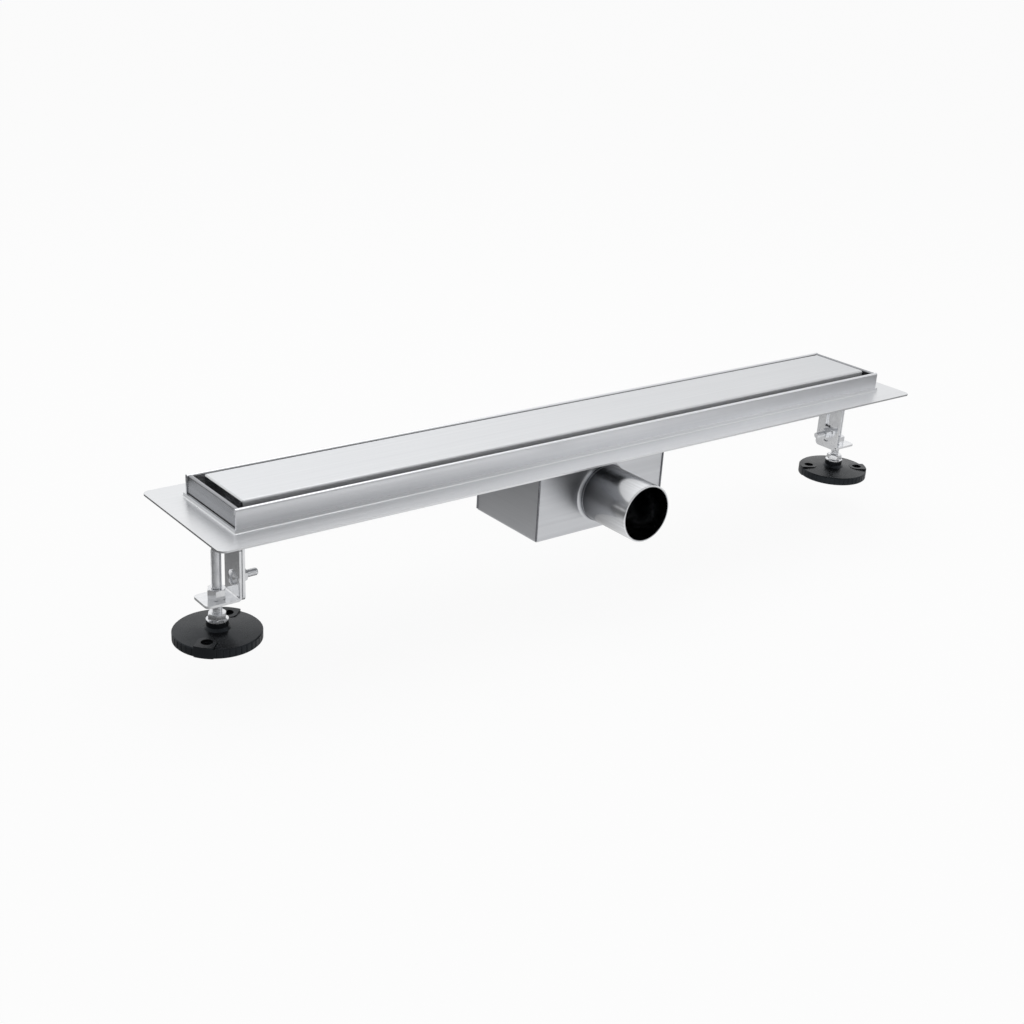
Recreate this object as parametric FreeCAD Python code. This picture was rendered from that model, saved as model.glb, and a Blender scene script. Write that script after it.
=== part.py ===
"""Linear channel drain on two levelling legs, with a welded sump box, a side outlet and a lift-out water trap.

Frame: origin at the middle of the cover's top face (the finished floor level), +X along the channel,
-Y towards the outlet, +Z up. All sizes are in millimetres.
"""
import FreeCAD, Part
import math
import os

V = FreeCAD.Vector
ORIGIN = V(0, 0, 0)
X_AXIS, Y_AXIS, Z_AXIS = V(1, 0, 0), V(0, 1, 0), V(0, 0, 1)
TOUCH = 0.01                # how near an edge lies to a plane to count as on it

# Channel
channel_length = 700.0
channel_width = 80.0
sheet = 1.5
upstand = 18.0              # flange face to rim
trough_drop = 8.0           # flange face to trough floor
hem_gap = 0.4
hem_depth = 5.0
floor_bend = 2.0            # inside radius of the trough's bends
end_recess = 0.8            # end plates sit this far inside the side walls' ends
least_bend = 0.2            # inside radius of a sharp fold

# Flange
flange_end = 25.0
flange_side = 24.0
flange_corner = 6.0
collar_height = 3.0
collar_bend = 1.2

# Cover
cover_proud = 1.5           # cover above the rim
cover_gap_end = 6.0
cover_gap_side = 6.5
cover_skirt = 9.0
cover_bend = 1.8
cover_foot_count = 4
cover_foot_width = 20.0
cover_foot_inset = 40.0     # first cover foot from the cover's end
cover_foot_gap = 5.1        # its toes inside the cover's sides
cover_foot_toe = 8.0
pad_thickness = 2.0

# Sump box and outlet
box_length = 138.0
box_depth = 60.0            # below the trough's underside
sump_x = -5.0               # middle of the box, the outlet and the trap
box_bend = 2.0
outlet_diameter = 50.0
outlet_length = 57.5        # beyond the box's face
outlet_below_trough = 26.5  # outlet axis below the trough's underside
outlet_chamfer = 0.4
neck_length = 4.0
neck_flare = 2.4

# Water trap
floor_margin = 9.0          # channel's side to the hole in its floor
floor_neck = 6.0
neck_bend = 1.0
trap_lip = 4.0              # trap's flange beyond the hole
trap_flange_thickness = 2.5
trap_wall = 2.0
trap_plug_gap = 1.0         # plug to floor neck
trap_plug_length = 11.0
trap_cone = 4.0             # height of the cone between plug and dip tube
dip_inset = 11.0            # floor hole to dip tube
cup_gap = 1.8               # cup inside the floor hole, all round
cup_clearance = 10.0        # box floor to the cup's underside
cup_rim_gap = 2.0           # trap's cone to the cup's rim
cup_below_tube = 8.0        # tube mouth to cup floor
cup_bend = 1.8
cup_rib_thickness = 2.0
cup_rib_height = 9.0
cup_ribs = 3
clip_gap = 0.1              # cup ribs to dip tube
seal_section = 2.8
seal_play = 0.1
strainer_gap = 0.5
strainer_rim = 4.0
strainer_sheet = 1.0
strainer_depth = 6.0
strainer_hole = 4.5
strainer_ring_count = 2
first_ring_count = 6        # holes in the innermost ring; the next has twice as many
knob_diameter = 7.0
knob_stem = 3.5
knob_height = 6.0
knob_edge = 2.0

# Legs
leg_inset = 1.5             # leg axis inside the channel's end
leg_y = -4.0                # legs stand a little towards the outlet
bracket_sheet = 2.0
bracket_bend = 1.5
plate_corner = 4.0
slide_gap = 0.15            # each side of the hanger to what slides along it
hanger_width = 26.0
hanger_tab = 18.0
hanger_length = 58.5        # below the trough's underside
hanger_offset = 15.1        # leg axis to the hanger's near face
slide_width = 24.0
slide_height = 44.0
tab_below_trough = 58.5     # underside of the bracket's tab
tab_reach = 14.0            # tab beyond the leg axis
slot_width = 6.5
slot_above = 24.0           # slot above the clamp screw
slot_below = 6.0
screw_diameter = 6.0
screw_length = 20.5
screw_below_trough = 43.0
screw_hole_gap = 0.2
screw_head = 12.0
screw_head_height = 3.3
screw_head_edge = 0.8
washer_diameter = 14.0
washer_thickness = 1.2
screw_nut_flats = 10.0
screw_nut_height = 5.0
thread_gap = 0.05           # threads, as plain cylinders, clear each other by this
thread_chamfer = 0.6
nut_chamfer = 30.0          # degrees
rod_diameter = 8.0
rod_top_below_trough = 17.0
rod_head = 14.0
rod_head_height = 4.0
rod_nut_flats = 13.0
rod_nut_height = 8.0
foot_nut_flange = 17.0
foot_nut_flange_height = 1.8
foot_nut_flange_edge = 0.9
foot_nut_height = 6.0

# Feet
foot_diameter = 68.0
foot_rim = 7.5
foot_cone = 2.0
foot_wall = 2.5
foot_ease = 0.8
foot_below_trough = 90.5    # underside of the foot
hub_diameter = 17.0
hub_height = 15.5
hub_blend = 2.0
hub_gap = 0.25
pocket_gap = 0.4
head_recess = 0.8           # rod head above the foot's underside
foot_rib_count = 4
foot_rib = 1.8
foot_rib_lift = 1.0
foot_groove_count = 44
foot_groove = 1.5
groove_depth = 0.45
groove_start = 1.5
lug_radius = 25.0
lug_width = 15.0
lug_corner = 6.0
lug_rise = 1.6
lug_hole = 5.0
lug_sink = 9.0
lug_sink_depth = 2.2
left_foot_turn = 45.0
right_foot_turn = -35.0

# Levels and places that follow from the sizes
half_length = channel_length / 2
half_width = channel_width / 2
rim_z = -cover_proud
flange_z = rim_z - upstand
floor_z = flange_z - trough_drop
trough_z = floor_z - sheet
hem_width = 2 * sheet + hem_gap
hem_radius = (sheet + hem_gap) / 2
inner_end = half_length - end_recess - hem_width
cover_x = inner_end - cover_gap_end
cover_y = half_width - hem_width - cover_gap_side
foot_toe = cover_y - cover_foot_gap
foot_knee = foot_toe - cover_foot_toe
box_half = box_length / 2
box_face = half_width + sheet
box_z = trough_z - box_depth
outlet_r = outlet_diameter / 2
outlet_z = trough_z - outlet_below_trough
outlet_y = -box_face - outlet_length
hole_r = half_width - floor_margin
plug_r = hole_r - trap_plug_gap
tube_r = hole_r - dip_inset
plug_z = floor_z - trap_plug_length
cup_z = box_z + sheet + cup_clearance
cup_rim = plug_z - trap_cone - cup_rim_gap
tube_z = cup_z + trap_wall + cup_below_tube
leg_x = half_length - leg_inset
hanger_x = leg_x - hanger_offset
slide_x = hanger_x + slide_gap
screw_x = slide_x + bracket_sheet
screw_z = trough_z - screw_below_trough
washer_seat = 2 * bracket_sheet + 2 * slide_gap
tab_z = trough_z - tab_below_trough
tab_top = tab_z + bracket_sheet
rod_r = rod_diameter / 2
rod_top = trough_z - rod_top_below_trough
foot_z = trough_z - foot_below_trough
hub_top = foot_z + hub_height
pocket_depth = head_recess + rod_head_height + pocket_gap


def box(x0, x1, y0, y1, z0, z1):
    return Part.makeBox(x1 - x0, y1 - y0, z1 - z0, V(x0, y0, z0))


def centred_box(half_x, half_y, z0, z1):
    return box(-half_x, half_x, -half_y, half_y, z0, z1)


def cylinder(radius, z0, z1, x=0.0, y=0.0):
    return Part.makeCylinder(radius, z1 - z0, V(x, y, z0), Z_AXIS)


def tube(outer, inner, z0, z1):
    return cylinder(outer, z0, z1).cut(cylinder(inner, z0, z1))


def edges_where(shape, test):
    """Edges whose middle point passes the test."""
    chosen = []
    for edge in shape.Edges:
        middle = edge.valueAt((edge.FirstParameter + edge.LastParameter) / 2)
        if test(middle, edge):
            chosen.append(edge)
    return chosen


def revolved(points):
    """Solid of revolution about Z from (radius, z) corners."""
    corners = [V(r, 0, z) for r, z in points]
    face = Part.Face(Part.makePolygon(corners + corners[:1]))
    return face.revolve(ORIGIN, Z_AXIS, 360)


def turned(shape, count):
    """Copies of a shape, evenly spaced about Z and starting half a step round."""
    copies = []
    for k in range(count):
        copy = shape.copy()
        copy.rotate(ORIGIN, Z_AXIS, 360 * (k + 0.5) / count)
        copies.append(copy)
    return copies


def hexagon(flats, z0, z1, bore):
    """Hexagonal nut with chamfered corners, along Z."""
    corner = flats / math.sqrt(3)
    angles = [math.radians(60 * k) for k in range(7)]
    outline = Part.makePolygon([V(corner * math.cos(a), corner * math.sin(a), z0) for a in angles])
    prism = Part.Face(outline).extrude(V(0, 0, z1 - z0))
    flat = flats / 2
    slope = (corner - flat) * math.tan(math.radians(nut_chamfer))
    barrel = revolved([(0, z0), (flat, z0), (corner, z0 + slope), (corner, z1 - slope), (flat, z1), (0, z1)])
    return prism.common(barrel).cut(cylinder(bore, z0, z1))


def folded(points, thickness, radii, place, sweep):
    """Sheet folded along a line through the middle of its thickness.

    points are 2D corners, radii the mid-thickness bend radius at each inner corner,
    place turns a 2D point into a 3D one and sweep is the vector along the fold."""
    points = [V(a, b, 0) for a, b in points]
    edges = []
    ends = {}

    def offset(point, direction, side):
        return point + V(-direction.y, direction.x, 0) * (side * thickness / 2)

    def run_to(side, end):
        if ends[side].distanceToPoint(end) > 1e-6:
            edges.append(Part.LineSegment(place(ends[side]), place(end)).toShape())
            ends[side] = end

    first = (points[1] - points[0]).normalize()
    last = (points[-1] - points[-2]).normalize()
    for side in (1, -1):
        ends[side] = offset(points[0], first, side)
    edges.append(Part.LineSegment(place(ends[1]), place(ends[-1])).toShape())
    for before, corner, after, radius in zip(points, points[1:], points[2:], radii):
        arrive = (corner - before).normalize()
        leave = (after - corner).normalize()
        turn = math.atan2(arrive.x * leave.y - arrive.y * leave.x, arrive.dot(leave))
        hand = math.copysign(1, turn)
        reach = radius * math.tan(abs(turn) / 2)
        centre = corner - arrive * reach + V(-arrive.y, arrive.x, 0) * (hand * radius)
        to_middle = (corner - centre).normalize()
        for side in (1, -1):
            bend = radius - hand * side * thickness / 2
            run_to(side, offset(corner - arrive * reach, arrive, side))
            stop = offset(corner + leave * reach, leave, side)
            arc = Part.Arc(place(ends[side]), place(centre + to_middle * bend), place(stop))
            edges.append(arc.toShape())
            ends[side] = stop
    for side in (1, -1):
        run_to(side, offset(points[-1], last, side))
    edges.append(Part.LineSegment(place(ends[1]), place(ends[-1])).toShape())
    outline = Part.Wire(Part.__sortEdges__(edges))
    return Part.Face(outline).extrude(sweep)


def in_yz(x):
    return lambda p: V(x, p.x, p.y)


def in_xz(y):
    return lambda p: V(p.x, y, p.y)


def channel_trough():
    """Trough folded from one sheet, with hemmed rims and a neck drawn down for the trap."""
    wall = half_width - sheet / 2
    lip = wall - 2 * hem_radius
    top, low = rim_z - sheet / 2, floor_z - sheet / 2
    right = [(lip, rim_z - hem_depth), (lip, top), (wall, top), (wall, low)]
    left = [(-y, z) for y, z in right]
    bend = floor_bend + sheet / 2
    radii = [hem_radius, hem_radius, bend, bend, hem_radius, hem_radius]
    trough = folded(left + right[::-1], sheet, radii, in_yz(-half_length), V(channel_length, 0, 0))
    neck = cylinder(hole_r + sheet, floor_z - floor_neck, trough_z, sump_x)
    trough = trough.fuse(neck).cut(cylinder(hole_r, floor_z - floor_neck, floor_z, sump_x))

    def at_neck(middle, edge):
        inside = abs(edge.Length - 2 * math.pi * hole_r) < TOUCH and abs(middle.z - floor_z) < TOUCH
        outside = abs(edge.Length - 2 * math.pi * (hole_r + sheet)) < TOUCH and abs(middle.z - trough_z) < TOUCH
        return inside or outside

    return trough.makeFillet(neck_bend, edges_where(trough, at_neck))


def end_plate(trough):
    """Hemmed plate at the +X end, welded between the side walls and on to the floor."""
    wall = half_length - end_recess - sheet / 2
    lip = wall - 2 * hem_radius
    top = rim_z - sheet / 2
    outline = [(lip, rim_z - hem_depth), (lip, top), (wall, top), (wall, floor_z)]
    between = half_width - sheet
    plate = folded(outline, sheet, [hem_radius, hem_radius], in_xz(-between), V(0, 2 * between, 0))
    for y in (-half_width, half_width - hem_width):
        plate = plate.cut(box(inner_end, half_length, y, y + hem_width, rim_z - hem_depth, rim_z))
    return plate.cut(trough)


def flange():
    """Flat flange round the trough, with a low collar turned up against its walls."""
    plate = centred_box(half_length + flange_end, half_width + flange_side, flange_z - sheet, flange_z)
    upright = edges_where(plate, lambda middle, edge: abs(middle.z - flange_z + sheet / 2) < TOUCH)
    plate = plate.makeFillet(flange_corner, upright)
    collar_x, collar_y = half_length + sheet, half_width + sheet
    ring = plate.fuse(centred_box(collar_x, collar_y, flange_z - sheet, flange_z + collar_height))

    def at_collar_foot(middle, edge):
        on_end = abs(abs(middle.x) - collar_x) < TOUCH
        on_side = abs(abs(middle.y) - collar_y) < TOUCH
        return abs(middle.z - flange_z) < TOUCH and (on_end or on_side)

    ring = ring.makeFillet(collar_bend, edges_where(ring, at_collar_foot))
    return ring.cut(centred_box(half_length, half_width, flange_z - sheet, flange_z + collar_height))


def tray(half_x, half_y, z0, z1, bend):
    """Block whose edges are rounded everywhere but round its lower face."""
    block = centred_box(half_x, half_y, z0, z1)
    return block.makeFillet(bend, edges_where(block, lambda middle, edge: middle.z > z0 + TOUCH))


def cover_plate():
    """Flat cover, a tray turned upside down with a skirt on all four sides."""
    shell = tray(cover_x, cover_y, -cover_skirt, 0, cover_bend)
    inside_bend = max(cover_bend - sheet, least_bend)
    return shell.cut(tray(cover_x - sheet, cover_y - sheet, -cover_skirt, -sheet, inside_bend))


def cover_foot_places():
    reach = cover_x - cover_foot_inset
    return [-reach + 2 * reach * k / (cover_foot_count - 1) for k in range(cover_foot_count)]


def cover_foot(x):
    """Hat-shaped strip under the cover, which stands on two pads."""
    low = floor_z + pad_thickness + sheet / 2
    high = -sheet - sheet / 2
    half = [(foot_toe, low), (foot_knee, low), (foot_knee, high)]
    outline = [(-y, z) for y, z in half] + half[::-1]
    radii = [sheet] * (len(outline) - 2)
    return folded(outline, sheet, radii, in_yz(x - cover_foot_width / 2), V(cover_foot_width, 0, 0))


def cover_pads():
    """Pads under the toes of every cover foot."""
    pads = []
    for x in cover_foot_places():
        x0, x1 = x - cover_foot_width / 2, x + cover_foot_width / 2
        for y0, y1 in ((-foot_toe, -foot_knee), (foot_knee, foot_toe)):
            pads.append(box(x0, x1, y0, y1, floor_z, floor_z + pad_thickness))
    return Part.makeCompound(pads)


def outlet_neck():
    """Neck drawn out of the box's front wall, flared where it leaves the wall."""
    flare = V(0, outlet_r + neck_flare, 0)
    middle = neck_flare * (1 - math.sqrt(0.5))
    tangent, end = V(neck_flare, outlet_r, 0), V(neck_length, outlet_r, 0)
    profile = [
        Part.LineSegment(ORIGIN, flare).toShape(),
        Part.Arc(flare, V(middle, outlet_r + middle, 0), tangent).toShape(),
        Part.LineSegment(tangent, end).toShape(),
        Part.LineSegment(end, V(neck_length, 0, 0)).toShape(),
        Part.LineSegment(V(neck_length, 0, 0), ORIGIN).toShape(),
    ]
    neck = Part.Face(Part.Wire(profile)).revolve(ORIGIN, X_AXIS, 360)
    neck.rotate(ORIGIN, Z_AXIS, -90)
    return neck.translate(V(0, -box_face, outlet_z))


def sump_box():
    """Folded box that hugs the trough from outside, up to the flange."""
    top = flange_z - sheet
    outer = centred_box(box_half, box_face, box_z, top)
    outer = outer.makeFillet(box_bend, edges_where(outer, lambda middle, edge: middle.z < box_z + TOUCH))
    inside_z = box_z + sheet
    inner = centred_box(box_half - sheet, half_width, inside_z, top)
    inside_bend = max(box_bend - sheet, least_bend)
    inner = inner.makeFillet(inside_bend, edges_where(inner, lambda middle, edge: middle.z < inside_z + TOUCH))
    trough_body = centred_box(box_half, half_width, trough_z, top)

    def along_trough(middle, edge):
        return abs(middle.x) < TOUCH and abs(middle.z - trough_z) < TOUCH

    trough_body = trough_body.makeFillet(floor_bend + sheet, edges_where(trough_body, along_trough))
    neck_end = V(0, -box_face - neck_length, outlet_z)
    hole = Part.makeCylinder(outlet_r - sheet, neck_length + sheet, neck_end, Y_AXIS)
    body = outer.fuse(outlet_neck()).cut(inner).cut(trough_body).cut(hole)
    return body.translate(V(sump_x, 0, 0))


def outlet_pipe():
    """Tube welded on to the end of the box's neck."""
    length = outlet_length - neck_length
    start = V(sump_x, outlet_y, outlet_z)
    outer = Part.makeCylinder(outlet_r, length, start, Y_AXIS)
    mouth = edges_where(outer, lambda middle, edge: abs(middle.y - outlet_y) < TOUCH)
    outer = outer.makeChamfer(outlet_chamfer, mouth)
    return outer.cut(Part.makeCylinder(outlet_r - sheet, length, start, Y_AXIS))


def trap_tube():
    """Plug that seals in the floor's neck, drawn in to a dip tube, with a groove for the seal."""
    rim, top = hole_r + trap_lip, floor_z + trap_flange_thickness
    outer = [(0, top), (rim, top), (rim, floor_z), (plug_r, floor_z), (plug_r, plug_z),
             (tube_r, plug_z - trap_cone), (tube_r, tube_z), (0, tube_z)]
    plug_inside, tube_inside = plug_r - trap_wall, tube_r - trap_wall
    inside_z = plug_z + trap_wall
    inner = [(0, top), (plug_inside, top), (plug_inside, inside_z),
             (tube_inside, inside_z - trap_cone), (tube_inside, tube_z), (0, tube_z)]
    body = revolved(outer).cut(revolved(inner))
    seal_z = floor_z - floor_neck / 2
    groove = tube(hole_r, hole_r - seal_section, seal_z - seal_section / 2, seal_z + seal_section / 2)
    return body.cut(groove).translate(V(sump_x, 0, 0))


def trap_seal():
    radius = seal_section / 2
    return Part.makeTorus(hole_r - radius, radius - seal_play, V(sump_x, 0, floor_z - floor_neck / 2), Z_AXIS)


def trap_cup():
    """Cup that holds the water round the dip tube; its ribs grip the tube."""
    outer_r = hole_r - cup_gap
    cup = cylinder(outer_r, cup_z, cup_rim)
    low = edges_where(cup, lambda middle, edge: abs(middle.z - cup_z) < TOUCH)
    cup = cup.makeFillet(cup_bend, low).cut(cylinder(outer_r - trap_wall, cup_z + trap_wall, cup_rim))
    half, rib_z = cup_rib_thickness / 2, cup_rim - cup_rib_height
    rib = box(tube_r, outer_r - trap_wall / 2, -half, half, rib_z, cup_rim)
    cup = cup.fuse(turned(rib, cup_ribs)).cut(cylinder(tube_r + clip_gap, rib_z, cup_rim))
    return cup.translate(V(sump_x, 0, 0))


def hair_strainer():
    """Perforated dish that hangs in the trap by its rim, with a knob to lift it."""
    seat = floor_z + trap_flange_thickness
    bottom = seat - strainer_depth
    dish = plug_r - trap_wall - strainer_gap
    inside, base = dish - strainer_sheet, bottom + strainer_sheet
    lip, top = dish + strainer_rim, seat + strainer_sheet
    body = revolved([(0, bottom), (dish, bottom), (dish, seat), (lip, seat), (lip, top), (inside, top),
                     (inside, base), (0, base)])
    holes = []
    for ring in range(1, strainer_ring_count + 1):
        hole = cylinder(strainer_hole / 2, bottom, base, dish * ring / (strainer_ring_count + 1))
        holes += turned(hole, ring * first_ring_count)
    knob_r, stem_r = knob_diameter / 2, knob_stem / 2
    knob_top, neck = base + knob_height, base + knob_height - knob_edge
    knob = revolved([(0, bottom), (stem_r, bottom), (stem_r, neck + stem_r - knob_r), (knob_r, neck),
                     (knob_r, knob_top), (0, knob_top)])
    return body.cut(Part.makeCompound(holes)).fuse(knob).translate(V(sump_x, 0, 0))


def slot_along_x(x, z0, z1):
    """Cutter for a vertical slot through a bracket plate; z0 and z1 are the centres of its round ends."""
    depth = 2 * bracket_sheet
    start = x - bracket_sheet
    ends = [Part.makeCylinder(slot_width / 2, depth, V(start, 0, z), X_AXIS) for z in (z0, z1)]
    return box(start, start + depth, -slot_width / 2, slot_width / 2, z0, z1).fuse(ends)


def hanger():
    """Slotted plate folded down from a tab that is welded under the trough."""
    middle_x = hanger_x - bracket_sheet / 2
    tab, low = trough_z - bracket_sheet / 2, trough_z - hanger_length
    bend = bracket_bend + bracket_sheet / 2
    plate = folded([(middle_x - hanger_tab, tab), (middle_x, tab), (middle_x, low)], bracket_sheet, [bend],
                   in_xz(-hanger_width / 2), V(0, hanger_width, 0))

    def at_corner(middle, edge):
        return abs(middle.z - low) < TOUCH and abs(abs(middle.y) - hanger_width / 2) < TOUCH

    plate = plate.makeFillet(plate_corner, edges_where(plate, at_corner))
    return plate.cut(slot_along_x(middle_x, screw_z - slot_below, screw_z + slot_above))


def slide_bracket():
    """Angle that slides on the hanger; its tab is tapped for the levelling rod."""
    middle_x = slide_x + bracket_sheet / 2
    tip_x, tab, top = leg_x + tab_reach, tab_z + bracket_sheet / 2, tab_z + slide_height
    bend = bracket_bend + bracket_sheet / 2
    bracket = folded([(middle_x, top), (middle_x, tab), (tip_x, tab)], bracket_sheet, [bend],
                     in_xz(-slide_width / 2), V(0, slide_width, 0))

    def at_corner(middle, edge):
        on_side = abs(abs(middle.y) - slide_width / 2) < TOUCH
        return on_side and (abs(middle.z - top) < TOUCH or abs(middle.x - tip_x) < TOUCH)

    bracket = bracket.makeFillet(plate_corner, edges_where(bracket, at_corner))
    hole_at = V(slide_x, 0, screw_z)
    screw_hole = Part.makeCylinder(screw_diameter / 2 + screw_hole_gap, bracket_sheet, hole_at, X_AXIS)
    return bracket.cut(screw_hole).cut(cylinder(rod_r + thread_gap, tab_z, tab_top, leg_x))


def along_screw(shape):
    """Moves a shape built upwards from the origin on to the clamp screw's axis, pointing inboard."""
    shape.rotate(ORIGIN, Y_AXIS, -90)
    return shape.translate(V(screw_x, 0, screw_z))


def threaded_shank(radius, z0, z1):
    """Plain cylinder with a chamfered upper end."""
    shank = cylinder(radius, z0, z1)
    tip = edges_where(shank, lambda middle, edge: abs(middle.z - z1) < TOUCH)
    return shank.makeChamfer(thread_chamfer, tip)


def clamp_screw():
    """Saucer-head screw through the bracket and the hanger's slot."""
    radius, dome = screw_head / 2, screw_head_height - screw_head_edge
    ball = (radius ** 2 + dome ** 2) / (2 * dome)
    crown = Part.makeSphere(ball, V(0, 0, ball - screw_head_height))
    head = cylinder(radius, -screw_head_height, 0).common(crown)
    return along_screw(head.fuse(threaded_shank(screw_diameter / 2, 0, screw_length)))


def clamp_washer():
    top = washer_seat + washer_thickness
    return along_screw(tube(washer_diameter / 2, screw_diameter / 2 + screw_hole_gap, washer_seat, top))


def clamp_nut():
    seat = washer_seat + washer_thickness
    return along_screw(hexagon(screw_nut_flats, seat, seat + screw_nut_height, screw_diameter / 2 + thread_gap))


def levelling_rod():
    """Rod whose round head turns in the foot's pocket."""
    head_top = foot_z + pocket_depth - pocket_gap
    head = cylinder(rod_head / 2, head_top - rod_head_height, head_top)
    return threaded_shank(rod_r, head_top, rod_top).fuse(head).translate(V(leg_x, 0, 0))


def lock_nut():
    nut = hexagon(rod_nut_flats, tab_top, tab_top + rod_nut_height, rod_r + thread_gap)
    return nut.translate(V(leg_x, 0, 0))


def foot_nut():
    """Flanged nut, tight on the rod, that carries the load on to the hub."""
    seat = hub_top + hub_gap
    bore, rim, flat = rod_r + thread_gap, foot_nut_flange / 2, rod_nut_flats / 2
    edge, top = seat + foot_nut_flange_edge, seat + foot_nut_flange_height
    skirt = revolved([(bore, seat), (rim, seat), (rim, edge), (flat, top), (bore, top)])
    return hexagon(rod_nut_flats, seat, seat + foot_nut_height, bore).fuse(skirt).translate(V(leg_x, 0, 0))


def foot_lug(foot_r):
    """Raised screw lug that reaches out to the foot's rim, along +X."""
    inner, half, top = lug_radius - lug_width / 2, lug_width / 2, foot_rim + lug_rise
    block = box(inner, foot_r + lug_width, -half, half, 0, top)

    def at_inner_corner(middle, edge):
        return abs(middle.x - inner) < TOUCH and abs(abs(middle.y) - half) < TOUCH

    block = block.makeFillet(lug_corner, edges_where(block, at_inner_corner))
    return block.common(cylinder(foot_r, 0, top))


def lug_bores():
    """Drill and countersink for one lug, along +X."""
    top = foot_rim + lug_rise
    drill = cylinder(lug_hole / 2, 0, top, lug_radius)
    return drill.fuse(cylinder(lug_sink / 2, top - lug_sink_depth, top, lug_radius))


def foot(turn):
    """Moulded foot: ribbed underside, grooved rim, hub and two screw lugs."""
    foot_r, hub_r = foot_diameter / 2, hub_diameter / 2
    crown = foot_rim + foot_cone
    outer = revolved([(0, 0), (foot_r - foot_ease, 0), (foot_r, foot_ease), (foot_r, foot_rim - foot_ease),
                      (foot_r - foot_ease, foot_rim), (hub_r + hub_blend, crown), (hub_r, crown + hub_blend),
                      (hub_r, hub_height), (0, hub_height)])
    inside = foot_r - foot_wall
    hollow = revolved([(hub_r + foot_wall, 0), (inside, 0), (inside, foot_rim - foot_wall),
                       (hub_r + foot_wall, crown - foot_wall)])
    notch = [V(foot_r - groove_depth, 0, groove_start), V(foot_r + groove_depth, -foot_groove, groove_start),
             V(foot_r + groove_depth, foot_groove, groove_start)]
    groove = Part.Face(Part.makePolygon(notch + notch[:1])).extrude(V(0, 0, crown - groove_start))
    rib_end, rib_top = foot_r - foot_wall / 2, foot_rim - foot_wall / 2
    rib = box(hub_r, rib_end, -foot_rib / 2, foot_rib / 2, foot_rib_lift, rib_top)
    body = outer.cut(turned(groove, foot_groove_count)).cut(hollow).fuse(turned(rib, foot_rib_count))
    lug, bores = foot_lug(foot_r), lug_bores()
    for angle in (turn, turn + 180):
        body = body.fuse(lug.rotated(ORIGIN, Z_AXIS, angle)).cut(bores.rotated(ORIGIN, Z_AXIS, angle))
    bore = cylinder(rod_r + hub_gap, 0, hub_height)
    pocket = cylinder(rod_head / 2 + pocket_gap, 0, pocket_depth)
    return body.cut(bore).cut(pocket).translate(V(leg_x, 0, foot_z))


def leg(side, turn):
    """Pieces of the leg at one end; the left leg is the right one mirrored."""
    pieces = {
        "hanger": hanger(),
        "slide_bracket": slide_bracket(),
        "clamp_screw": clamp_screw(),
        "clamp_washer": clamp_washer(),
        "clamp_nut": clamp_nut(),
        "levelling_rod": levelling_rod(),
        "lock_nut": lock_nut(),
        "foot_nut": foot_nut(),
        "foot": foot(turn),
    }
    placed = {}
    for name, shape in pieces.items():
        if side == "left":
            shape = shape.mirror(ORIGIN, X_AXIS)
        placed[f"{name}_{side}"] = shape.translate(V(0, leg_y, 0))
    return placed


def build():
    """Every piece by its node's name."""
    trough = channel_trough()
    right_end = end_plate(trough)
    parts = {
        "channel_trough": trough,
        "end_plate_right": right_end,
        "end_plate_left": right_end.mirror(ORIGIN, X_AXIS),
        "flange": flange(),
        "cover_plate": cover_plate(),
        "cover_pads": cover_pads(),
        "sump_box": sump_box(),
        "outlet_pipe": outlet_pipe(),
        "trap_tube": trap_tube(),
        "trap_seal": trap_seal(),
        "trap_cup": trap_cup(),
        "hair_strainer": hair_strainer(),
    }
    for k, x in enumerate(cover_foot_places(), 1):
        parts[f"cover_foot_{k}"] = cover_foot(x)
    parts.update(leg("left", 180 - left_foot_turn))
    parts.update(leg("right", right_foot_turn))
    return parts


os.makedirs("parts", exist_ok=True)
for name, shape in build().items():
    shape.exportStep(f"parts/{name}.step")
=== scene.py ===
"""Linear channel drain: finishes, threads, welds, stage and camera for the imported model.

Everything is in metres in the drain's own frame: the origin is the middle of the cover's top face,
+X runs along the channel, -Y points to the outlet and +Z up.
"""
import math

import bmesh
import bpy
from mathutils import Matrix, Vector


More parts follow.
